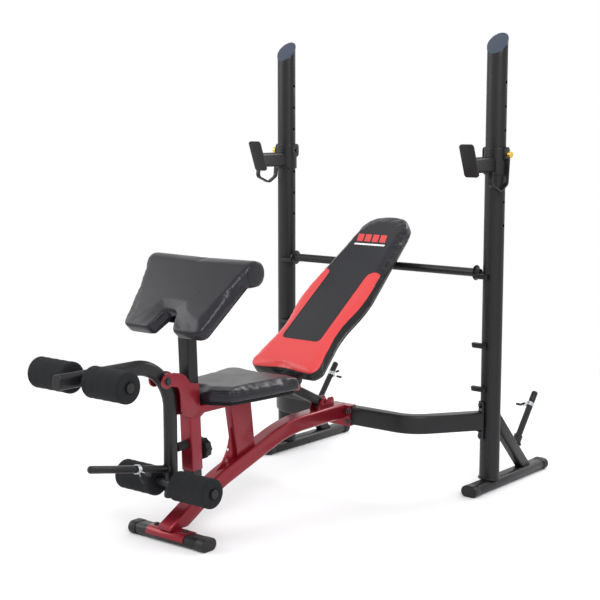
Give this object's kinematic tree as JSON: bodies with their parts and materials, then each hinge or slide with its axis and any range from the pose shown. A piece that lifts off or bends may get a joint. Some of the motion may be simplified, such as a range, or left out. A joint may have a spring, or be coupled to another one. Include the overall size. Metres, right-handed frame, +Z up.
{
  "type": "adjustable weight bench with uprights",
  "caption": "Olympic weight bench with squat uprights and sliding bar catches, tilting backrest, removable curl pad, leg developer with foam rollers and plate storage pegs.",
  "frame": {"origin": "on the floor, under the middle of the whole bench's bounding box", "axes": "+Z up, +Y to the rear where the uprights stand, +X to the left of someone sitting on the seat facing forward"},
  "size_m": [1.1376, 2.0983, 1.7122],
  "materials": {
    "black_paint": "satin powder coat",
    "red_paint": "metallic gloss",
    "cap_grey": "matt moulded",
    "black_plastic": "matt moulded",
    "dark_steel": "blackened",
    "rubber": "matt",
    "zinc": "zinc plated",
    "gold": "anodised",
    "plywood": "covered in black cloth",
    "vinyl": "satin vinyl",
    "foam": "matt foam"
  },
  "bodies": {
    "frame": {"bar_hooks_left": "black_paint", "bar_hooks_right": "black_paint", "beam_clamp": "red_paint", "crossbeam": "black_paint", "crossbeam_plates": "black_paint", "foot_caps": "black_plastic", "foot_saddle": "red_paint", "frame_bolts": "dark_steel", "front_foot": "black_paint", "hinge_bolt": "dark_steel", "leg_bracket": "red_paint", "main_beam": "red_paint", "pivot_bolt": "dark_steel", "pivot_plates": "red_paint", "post_sleeve": "red_paint", "rear_brace_left": "black_paint", "rear_brace_right": "black_paint", "rear_foot_left": "black_paint", "rear_foot_right": "black_paint", "rear_leg": "black_paint", "seat_board": "plywood", "seat_gusset": "red_paint", "seat_pad": "vinyl", "seat_post": "red_paint", "seat_rail": "red_paint", "sleeve_bumper": "rubber", "storage_peg_left": "black_paint", "storage_peg_right": "black_paint", "upright_caps": "cap_grey", "upright_left": "black_paint", "upright_right": "black_paint"},
    "backrest": {"backrest_frame": "black_paint", "backrest_board": "plywood", "backrest_pad": "vinyl"},
    "support_bar": {"support_bar": "black_paint"},
    "curl_pad_post": {"curl_post": "black_paint", "curl_bracket": "black_paint", "curl_board": "plywood", "curl_pad": "vinyl"},
    "clamp_knob": {"star_knob": "black_plastic"},
    "leg_developer": {"leg_arm": "black_paint", "arm_caps": "black_plastic", "roller_axles": "black_paint", "axle_caps": "black_plastic", "leg_peg": "black_paint"},
    "leg_peg_collar": {"leg_peg_collar": "zinc"},
    "catch_left": {"bar_catch_left": "black_paint"},
    "catch_pin_left": {"catch_pin_left": "gold"},
    "peg_collar_left": {"peg_collar_left": "zinc"},
    "roller_upper_left": {"foam_roller_upper_left": "foam"},
    "roller_lower_left": {"foam_roller_lower_left": "foam"},
    "catch_right": {"bar_catch_right": "black_paint"},
    "catch_pin_right": {"catch_pin_right": "gold"},
    "peg_collar_right": {"peg_collar_right": "zinc"},
    "roller_upper_right": {"foam_roller_upper_right": "foam"},
    "roller_lower_right": {"foam_roller_lower_right": "foam"}
  },
  "joints": [
    {"name": "backrest_tilt", "type": "hinge", "parent": "frame", "child": "backrest", "pos_m": [0, 0.061, 0.453], "axis": [1, 0, 0], "range_deg": [0, 23]},
    {"name": "support_bar_lift", "type": "slide", "parent": "frame", "child": "support_bar", "axis": [0, 0.8039, 0.5948], "range_m": [0, 0.06]},
    {"name": "curl_pad_height", "type": "slide", "parent": "frame", "child": "curl_pad_post", "axis": [0, -0.0401, 0.9992], "range_m": [-0.035, 0.04]},
    {"name": "clamp_knob_turn", "type": "hinge", "parent": "frame", "child": "clamp_knob", "pos_m": [0, -0.46645, 0.288], "axis": [0, 0.9992, 0.0401], "continuous": true},
    {"name": "leg_developer_swing", "type": "hinge", "parent": "frame", "child": "leg_developer", "pos_m": [0, -0.608, 0.554], "axis": [-1, 0, 0], "range_deg": [0, 78]},
    {"name": "leg_peg_collar_slide", "type": "slide", "parent": "leg_developer", "child": "leg_peg_collar", "axis": [0, -0.9803, 0.1977], "range_m": [0, 0.18]},
    {"name": "roller_upper_left_spin", "type": "hinge", "parent": "leg_developer", "child": "roller_upper_left", "pos_m": [0.1245, -0.943, 0.608], "axis": [1, 0, 0], "continuous": true},
    {"name": "roller_lower_left_spin", "type": "hinge", "parent": "leg_developer", "child": "roller_lower_left", "pos_m": [0.1245, -0.582, 0.202], "axis": [1, 0, 0], "continuous": true},
    {"name": "catch_left_height", "type": "slide", "parent": "frame", "child": "catch_left", "axis": [0, 0, 1], "range_m": [-0.2619, 0.2619]},
    {"name": "catch_pin_left_push", "type": "slide", "parent": "catch_left", "child": "catch_pin_left", "axis": [-1, 0, 0], "range_m": [0, 0.006]},
    {"name": "peg_collar_left_slide", "type": "slide", "parent": "frame", "child": "peg_collar_left", "axis": [0, 0.6293, 0.7771], "range_m": [0, 0.039]},
    {"name": "roller_upper_right_spin", "type": "hinge", "parent": "leg_developer", "child": "roller_upper_right", "pos_m": [-0.1245, -0.943, 0.608], "axis": [1, 0, 0], "continuous": true},
    {"name": "roller_lower_right_spin", "type": "hinge", "parent": "leg_developer", "child": "roller_lower_right", "pos_m": [-0.1245, -0.582, 0.202], "axis": [1, 0, 0], "continuous": true},
    {"name": "catch_right_height", "type": "slide", "parent": "frame", "child": "catch_right", "axis": [0, 0, 1], "range_m": [-0.2619, 0.2619]},
    {"name": "catch_pin_right_push", "type": "slide", "parent": "catch_right", "child": "catch_pin_right", "axis": [1, 0, 0], "range_m": [0, 0.006]},
    {"name": "peg_collar_right_slide", "type": "slide", "parent": "frame", "child": "peg_collar_right", "axis": [0, 0.6293, 0.7771], "range_m": [0, 0.039]}
  ]
}
